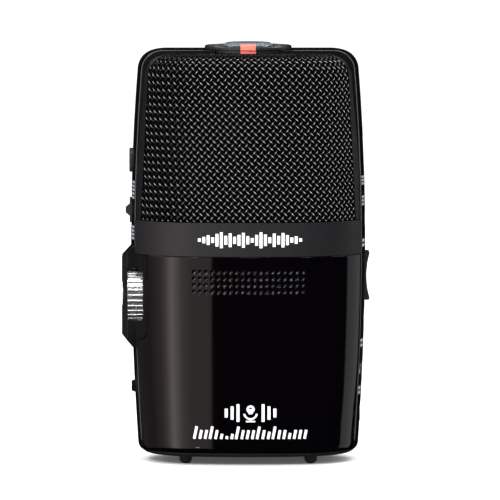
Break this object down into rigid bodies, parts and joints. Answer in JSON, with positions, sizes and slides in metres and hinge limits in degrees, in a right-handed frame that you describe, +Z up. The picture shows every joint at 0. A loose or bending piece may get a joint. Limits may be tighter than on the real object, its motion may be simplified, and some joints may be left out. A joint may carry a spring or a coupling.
{
  "type": "handheld voice recorder",
  "caption": "Upright handheld voice recorder with woven-wire microphone grilles, a roof dial, a side gain wheel, a glossy battery cover and a display on the far face.",
  "frame": {"origin": "on the standing surface, under the middle of the body", "axes": "+Z up; -Y out of the speaker face; +Y out of the display face; +X to the right seen from the speaker face"},
  "size_m": [0.0675, 0.0429, 0.1142],
  "materials": {
    "gloss_black_cover": "polished piano-black moulding",
    "satin_black_shell": "fine satin moulded plastic",
    "base_plastic": "matte moulded plastic",
    "trim_band": "matte dark grey, fine grain",
    "grille_rim": "matte black moulding",
    "grille_wire": "satin black woven steel wire",
    "acoustic_cloth": "thin black acoustic cloth",
    "dial_black": "satin black with printed marks",
    "dial_metal": "brushed light metal",
    "pointer_red": "coral red",
    "wheel_silver": "satin chrome, ridged",
    "button_black": "satin black",
    "record_button": "dark grey with a red ring",
    "window": "smoked clear window",
    "lcd": "pale display glass in a frame",
    "led_lens": "red lamp lenses",
    "circuit_board": "green solder mask",
    "chip": "black epoxy",
    "socket_metal": "plated steel",
    "jack_plastic": "black jack moulding",
    "memory_card": "dark blue card",
    "tray_plastic": "moulded tray",
    "cell_jacket": "grey cell jacket",
    "contact_metal": "nickel-plated steel",
    "speaker": "thin speaker with a dark cone",
    "gasket": "black foam",
    "capsule_metal": "bare metal capsule",
    "ribbon": "amber flexible circuit",
    "brass": "turned brass",
    "screw_steel": "blackened steel",
    "foot_rubber": "soft black rubber"
  },
  "bodies": {
    "root": {"base_plate": "base_plastic", "battery_cell_left": "cell_jacket", "battery_cell_right": "cell_jacket", "battery_tray": "tray_plastic", "board_chips": "chip", "case_screws": "screw_steel", "contact_plates": "contact_metal", "contact_springs": "contact_metal", "display_board": "circuit_board", "display_window": "window", "front_acoustic_cloth": "acoustic_cloth", "front_grille": "grille_wire", "front_grille_rim": "grille_rim", "front_trim_band": "trim_band", "front_wheel_bezel": "gloss_black_cover", "gain_potentiometer": "chip", "lcd_module": "lcd", "line_in_jack": "jack_plastic", "loop_frame": "satin_black_shell", "main_board": "circuit_board", "mic_board": "circuit_board", "mic_bracket": "tray_plastic", "mic_ribbon": "ribbon", "mid_capsule": "capsule_metal", "mode_led_lenses": "led_lens", "mode_switch": "chip", "phones_jack": "jack_plastic", "rear_acoustic_cloth": "acoustic_cloth", "rear_grille": "grille_wire", "rear_grille_rim": "grille_rim", "rear_shell": "satin_black_shell", "rear_trim_band": "trim_band", "rear_wheel_bezel": "gloss_black_cover", "record_switch": "chip", "remote_jack": "jack_plastic", "rubber_feet": "foot_rubber", "sd_card": "memory_card", "sd_socket": "socket_metal", "side_capsules": "capsule_metal", "side_switches_left": "circuit_board", "speaker": "speaker", "speaker_gasket": "gasket", "tripod_insert": "brass", "usb_port": "socket_metal", "volume_switches": "circuit_board", "wheel_guard": "satin_black_shell", "xy_capsule_left": "capsule_metal", "xy_capsule_right": "capsule_metal"},
    "mode_dial": {"mode_dial": "dial_black", "dial_cap": "dial_metal", "dial_pointer": "pointer_red"},
    "gain_wheel": {"gain_wheel": "wheel_silver"},
    "record_button": {"record_button": "record_button"},
    "menu_button": {"menu_button": "button_black"},
    "power_slider": {"power_slider": "button_black"},
    "volume_rocker": {"volume_rocker": "button_black"},
    "sd_door": {"sd_door": "satin_black_shell"},
    "battery_cover": {"battery_cover": "gloss_black_cover"}
  },
  "joints": [
    {"name": "mode_dial_turn", "type": "hinge", "parent": "root", "child": "mode_dial", "pos_m": [0, 0, 0.112], "axis": [0, 0, 1], "range_deg": [-90, 180]},
    {"name": "gain_wheel_turn", "type": "hinge", "parent": "root", "child": "gain_wheel", "pos_m": [-0.0308, 0, 0.0459], "axis": [1, 0, 0], "range_deg": [-150, 150]},
    {"name": "record_press", "type": "slide", "parent": "root", "child": "record_button", "axis": [0, -1, 0], "range_m": [0, 0.0008], "stiffness_N_per_m": 800},
    {"name": "menu_press", "type": "slide", "parent": "root", "child": "menu_button", "axis": [1, 0, 0], "range_m": [0, 0.0006], "stiffness_N_per_m": 800},
    {"name": "power_slide", "type": "slide", "parent": "root", "child": "power_slider", "axis": [0, 0, 1], "range_m": [-0.0012, 0.0012]},
    {"name": "volume_rock", "type": "hinge", "parent": "root", "child": "volume_rocker", "pos_m": [0.0282, 0, 0.0505], "axis": [0, 1, 0], "range_deg": [-3, 3], "stiffness_Nm_per_rad": 0.5},
    {"name": "sd_door_swing", "type": "hinge", "parent": "root", "child": "sd_door", "pos_m": [-0.02871, 0.0054, 0.0059], "axis": [0.0525, 0, -0.9986], "range_deg": [0, 100]},
    {"name": "battery_cover_off", "type": "slide", "parent": "root", "child": "battery_cover", "axis": [0, -1, 0], "range_m": [0, 0.025]}
  ]
}
